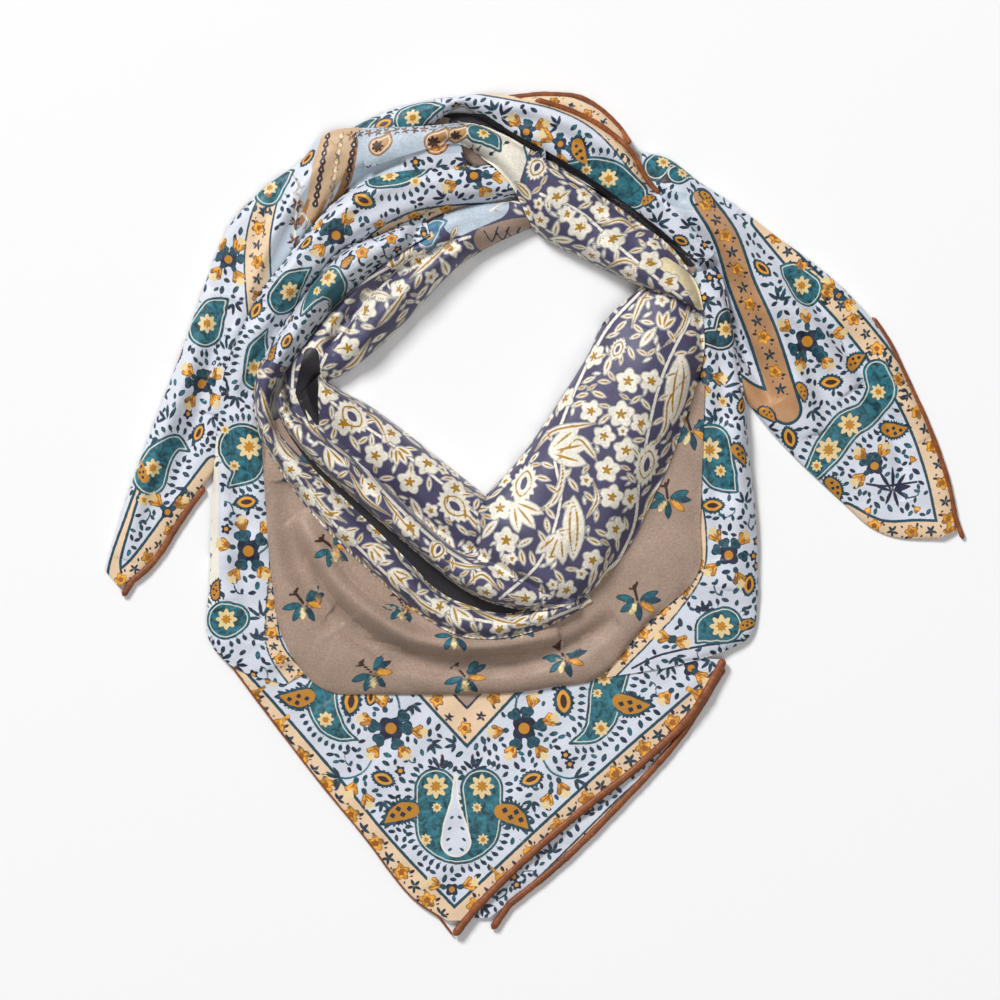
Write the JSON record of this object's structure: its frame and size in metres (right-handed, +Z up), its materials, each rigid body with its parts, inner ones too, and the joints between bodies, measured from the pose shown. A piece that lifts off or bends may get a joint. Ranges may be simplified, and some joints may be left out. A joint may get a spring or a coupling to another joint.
{
  "type": "silk square scarf",
  "caption": "Square silk scarf folded corner to corner, wound once into a loose loop and laid flat, with printed border, field and floral neck and rolled hems.",
  "frame": {"origin": "centre of the bounding box at the surface that the scarf lies on", "axes": "+Z up from the surface, -Y towards the front corner, +X to the right of it"},
  "size_m": [0.431, 0.4239, 0.023],
  "materials": {
    "silk_border": "silk twill with a soft sheen, white-blue ground with a teal and ochre paisley print",
    "silk_field": "silk twill with a soft sheen, mottled beige ground with small teal sprigs",
    "silk_floral": "silk twill with a soft sheen, plum ground with a cream and ochre floral print",
    "rolled_hem": "hand-rolled hem in rust silk"
  },
  "bodies": {
    "root": {"under_point": "silk_border", "right_tail": "silk_border", "top_under": "silk_border", "neck_back": "silk_floral", "top_band": "silk_border", "left_tail": "silk_border", "front_point": "silk_border", "side_left": "silk_border", "side_right": "silk_border", "bib_field": "silk_field", "neck_left_inner": "silk_floral", "cowl_outer": "silk_floral", "cowl_inner": "silk_floral", "cowl_front": "silk_floral", "neck_cross": "silk_floral", "hem_under_point": "rolled_hem", "hem_right_tail": "rolled_hem", "hem_top_under": "rolled_hem", "hem_top_band": "rolled_hem", "hem_left_tail": "rolled_hem", "hem_point_left": "rolled_hem", "hem_point_right": "rolled_hem"}
  },
  "joints": []
}
